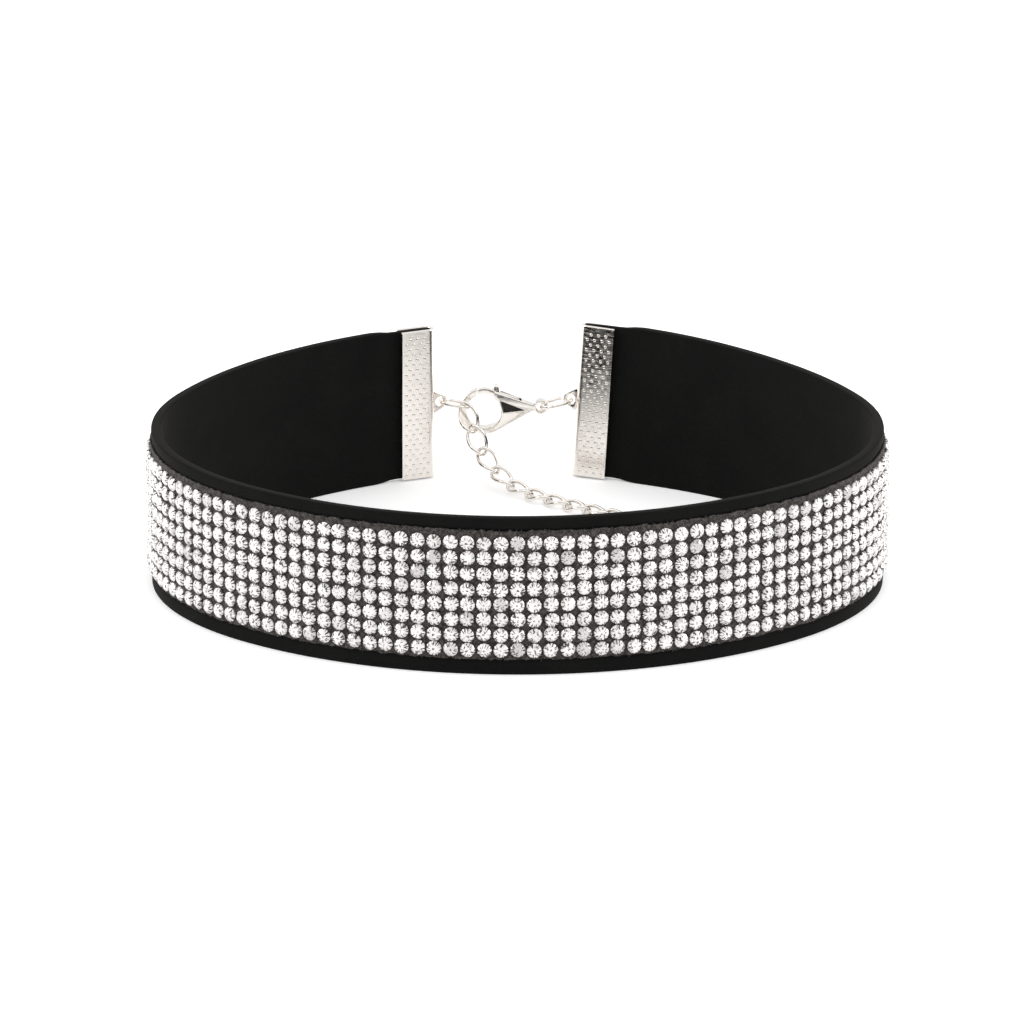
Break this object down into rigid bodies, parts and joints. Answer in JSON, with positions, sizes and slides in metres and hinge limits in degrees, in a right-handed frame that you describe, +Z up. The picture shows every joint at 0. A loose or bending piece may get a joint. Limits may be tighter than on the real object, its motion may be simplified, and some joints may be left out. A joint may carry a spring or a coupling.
{
  "type": "choker necklace",
  "caption": "Velvet ribbon choker with a band of small round rhinestones, folded metal ribbon ends, a lobster clasp and an extension chain, standing closed in a ring on its lower edge.",
  "frame": {"origin": "centre of the bounding box in plan, on the surface that the band stands on", "axes": "+Z up, across the width of the ribbon; the front of the band faces -Y and the clasp is at the back, towards +Y; +X towards the right ribbon end as seen from the front"},
  "size_m": [0.1016, 0.0922, 0.022],
  "materials": {
    "velvet": "matt black velvet pile",
    "rhinestones": "faceted clear stones with silvered backs on dark mesh",
    "silver_metal": "polished bright silver plating"
  },
  "bodies": {
    "necklace": {"velvet_band": "velvet", "rhinestone_strip": "rhinestones", "crimp_left": "silver_metal", "crimp_right": "silver_metal", "jump_ring_left": "silver_metal", "jump_ring_right": "silver_metal", "clasp_body": "silver_metal", "chain_link_01": "silver_metal", "chain_link_02": "silver_metal", "chain_link_03": "silver_metal", "chain_link_04": "silver_metal", "chain_link_05": "silver_metal", "chain_link_06": "silver_metal", "chain_link_07": "silver_metal", "chain_link_08": "silver_metal", "chain_link_09": "silver_metal", "chain_link_10": "silver_metal", "chain_link_11": "silver_metal", "chain_link_12": "silver_metal", "chain_link_13": "silver_metal", "chain_link_14": "silver_metal", "chain_link_15": "silver_metal"},
    "lever": {"clasp_lever": "silver_metal"}
  },
  "joints": [
    {"name": "clasp_lever", "type": "hinge", "parent": "necklace", "child": "lever", "pos_m": [-0.00021, 0.04343, 0.01056], "axis": [0, -1, 0], "range_deg": [0, 20], "stiffness_Nm_per_rad": 0.001}
  ]
}
